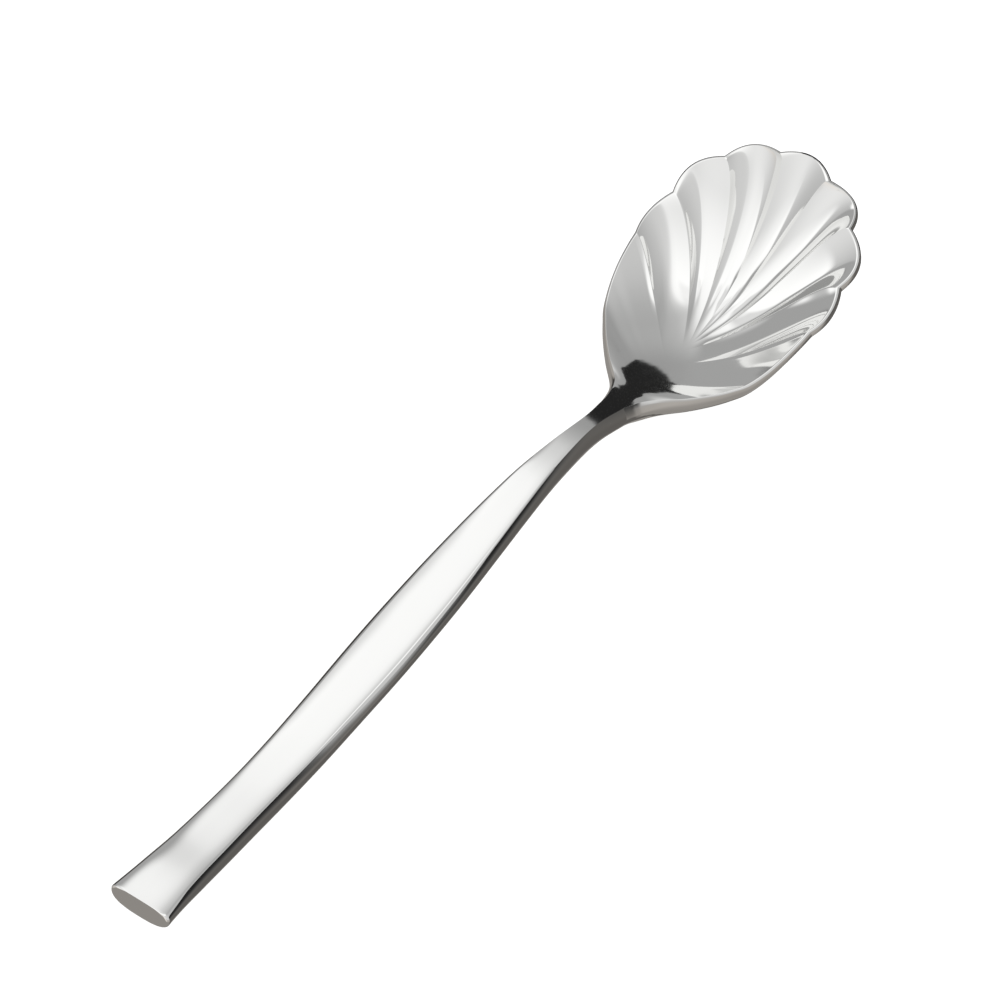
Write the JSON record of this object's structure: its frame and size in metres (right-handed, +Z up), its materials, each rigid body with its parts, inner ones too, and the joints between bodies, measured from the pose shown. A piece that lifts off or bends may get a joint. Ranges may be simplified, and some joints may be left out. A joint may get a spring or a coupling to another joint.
{
  "type": "sugar spoon",
  "caption": "Polished steel sugar spoon with a fluted, scalloped shell bowl, a thin arched neck and a flat-topped handle that flares to a square end.",
  "frame": {"origin": "on the table under the middle of the spoon's bounding box, which stands on the handle's waist and the bottom of the bowl", "axes": "+X along the spoon from the square handle end to the bowl's tip, +Y to the left, +Z up out of the open bowl"},
  "size_m": [0.1548, 0.0306, 0.0173],
  "materials": {
    "bowl": "mirror-polished stainless steel",
    "neck": "mirror-polished stainless steel",
    "handle": "polished stainless steel, plain ground end face"
  },
  "bodies": {
    "root": {"bowl": "bowl", "neck": "neck", "handle": "handle"}
  },
  "joints": []
}
